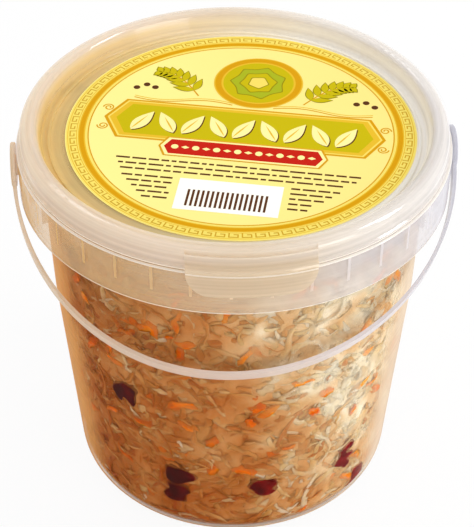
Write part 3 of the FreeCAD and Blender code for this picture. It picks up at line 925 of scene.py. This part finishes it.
def inkBadge(p):
    # A round badge with a cabbage head seen from above: scalloped leaves one inside the other. Each
    # radius dips with the cosine of half its lobes round.
    for radius, ink, layer in p["discs"]:
        inkShape(circle(radius, p["middle"], 90), ink, layer)
    t = np.linspace(0, 2 * np.pi, 120, endpoint=False)
    for index, (radius, lobes, ink) in enumerate(p["whorls"]):
        wave = radius * (1 - p["notch"] * np.abs(np.cos(lobes * t / 2 + index // 2)))
        inkShape(np.stack([wave * np.cos(t), wave * np.sin(t)], 1) + p["middle"], ink, 7 + index)


sprigs = {
    "foot": (15.5, 15.8), "reach": (13.5, 11.0), "arch": 3.0,    # mm from the label's middle, and on
    "leaf": 7.2, "taper": 0.28, "leafTurn": 48,                  # mm, mm less for each station, degrees
    "sweep": (6.0, 12.6), "sweepReach": 29.0,
    "berries": [(32.5, 19.5), (35.2, 17.6), (29.8, 18.4)],
    "middle": 1.6, "stemMiddle": 0.6,                            # mm across that the two sides mirror at
}


def inkSprigs(p):
    # A leafy sprig curling up on each side of the badge, a gold line under it and three berries.
    t = np.linspace(0, 1, 16)
    for side in (-1, 1):
        stem = np.stack([p["stemMiddle"] + side * (p["foot"][0] + p["reach"][0] * t),
                         p["foot"][1] + p["reach"][1] * t + p["arch"] * np.sin(np.pi * t)], 1)
        inkLine(stem, 0.45, "amber", 1)
        for index in range(2, 15, 2):
            ahead = stem[index + 1] - stem[index - 1]
            heading = math.degrees(math.atan2(ahead[1], ahead[0]))
            size = p["leaf"] - p["taper"] * index
            for turn in (p["leafTurn"], -p["leafTurn"]):
                inkShape(leafOutline(stem[index], heading + turn, size, 2.6), "darkOlive", 2)
                inkShape(leafOutline(stem[index] + (0.0, 0.12), heading + turn, size - 0.5, 2.1), "olive", 3)
        sweep = np.stack([p["middle"] + side * (p["sweep"][0] + p["sweepReach"] * t),
                          p["sweep"][1] + 1.1 * np.sin(2 * np.pi * t)], 1)
        inkLine(sweep, 0.4, "amber", 1)
        inkLine(sweep + (0, 0.9), 0.3, "gold", 1)
        for spot in np.array(p["berries"]) * (side, 1) + (p["middle"], 0):
            inkShape(circle(1.0, spot, 16), "brown", 2)


rows = {
    "seed": 5, "dash": (1.2, 4.6), "gap": 0.7, "high": 0.75,
    "wide": [(-33, 36, -17.6), (-32, 35, -20.0), (-31, 33, -22.4)],    # left, right and height
    "short": 5, "shortTop": -25.4, "shortStep": -2.3,
    "field": (-13.5, -38.6, 29.0, 14.0),                               # left, foot, width and height
    "bars": (-10.5, 12.4, 1.35), "bar": (-36.8, 0.7, 7.4),             # span and step; foot, width, height
}


def inkRows(p):
    # Rows of short plain dashes, and a white field with even bars.
    rng = np.random.default_rng(p["seed"])
    lines = list(p["wide"])
    lines += [(-30 + k * 1.8, -15.5, p["shortTop"] + p["shortStep"] * k) for k in range(p["short"])]
    lines += [(17.5, 31 - k * 2.0, p["shortTop"] + p["shortStep"] * k) for k in range(p["short"])]
    for left, right, y in lines:
        x = left
        while x < right - 1:
            size = min(rng.uniform(*p["dash"]), right - x)
            inkShape(box(x, y, size, p["high"]), "brown", 1)
            x += size + p["gap"]
    inkShape(box(*p["field"]), "white", 2)
    foot, width, height = p["bar"]
    for x in np.arange(*p["bars"]):
        inkShape(box(x, foot, width, height), "brown", 3)


def makePrint(p, top):
    # Puts all inked shapes on the label: each layer lies a hair above the last.
    a = math.radians(p["turn"])
    turn = np.array([[math.cos(a), math.sin(a)], [-math.sin(a), math.cos(a)]])
    points, faces, colours, start = [], [], [], 0
    for outline, shapes, ink, layer in prints:
        flat = outline @ turn + p["centre"]
        points.append(np.column_stack([flat, np.full(len(flat), top + (layer + 1) * p["lift"])]))
        faces += [[start + k for k in face] for face in shapes]
        colours.append(np.tile(linear(inks[ink]), (len(flat), 1)))
        start += len(flat)
    return np.vstack(points) * mm, faces, np.vstack(colours)


def makeLabelMaterial(name, p, printed):
    # Coated label paper, offset printed: flat inks under a satin varnish, warmer towards one side,
    # with the faint tooth of the paper.
    material, tree, output = newMaterial(name)
    place = addNode(tree, "ShaderNodeTexCoord").outputs["Object"]
    tooth = addNode(tree, "ShaderNodeTexNoise", {"Scale": 1 / (0.5 * mm), "Detail": 2.0}, {"Vector": place})
    cloud = addNode(tree, "ShaderNodeTexNoise", {"Scale": 1 / (30 * mm), "Detail": 1.0}, {"Vector": place})
    if printed:
        colour = addNode(tree, "ShaderNodeAttribute", {"attribute_name": "ink"})
    else:
        axes = addNode(tree, "ShaderNodeSeparateXYZ", None, {"Vector": place})
        low, high = p["groundSpan"]
        share = addNode(tree, "ShaderNodeMapRange", {"From Min": low * mm, "From Max": high * mm},
                        {"Value": axes.outputs["X"]})
        colour = addNode(tree, "ShaderNodeValToRGB", {"stops": p["ground"]}, {"Fac": share})
    worn = addNode(tree, "ShaderNodeMapRange", {"To Min": 0.97, "To Max": 1.03}, {"Value": cloud})
    colour = addNode(tree, "ShaderNodeVectorMath", {"operation": "SCALE"}, {0: colour, "Scale": worn})
    bump = addNode(tree, "ShaderNodeBump", {"Strength": 0.15, "Distance": 0.05 * mm}, {"Height": tooth})
    surface = addNode(tree, "ShaderNodeBsdfPrincipled",
                      {"Roughness": 0.45, "IOR": 1.5, "Specular IOR Level": 0.03},
                      {"Base Color": colour, "Normal": bump})
    tree.links.new(surface.outputs[0], output.inputs["Surface"])
    return material


inkBorder(border)
inkBand(band)
inkRibbon(ribbon)
inkBadge(badge)
inkSprigs(sprigs)
inkRows(rows)
dressNode("label", makeLabelMaterial("printed_label_paper", label, False))
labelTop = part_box("label")[1].z / mm
printPoints, printFaces, printInks = makePrint(label, labelTop)
printMaterial = makeLabelMaterial("offset_inks", label, True)
labelPrint = makePiece("label_print", printPoints, printFaces, printMaterial, False, None, {"ink": printInks})
inkFilm = labelPrint.modifiers.new("ink_film", "SOLIDIFY")
inkFilm.thickness = label["film"] * label["lift"] * mm
inkFilm.offset = -1.0
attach(labelPrint, containerBody)
print("label printed,", len(prints), "shapes")
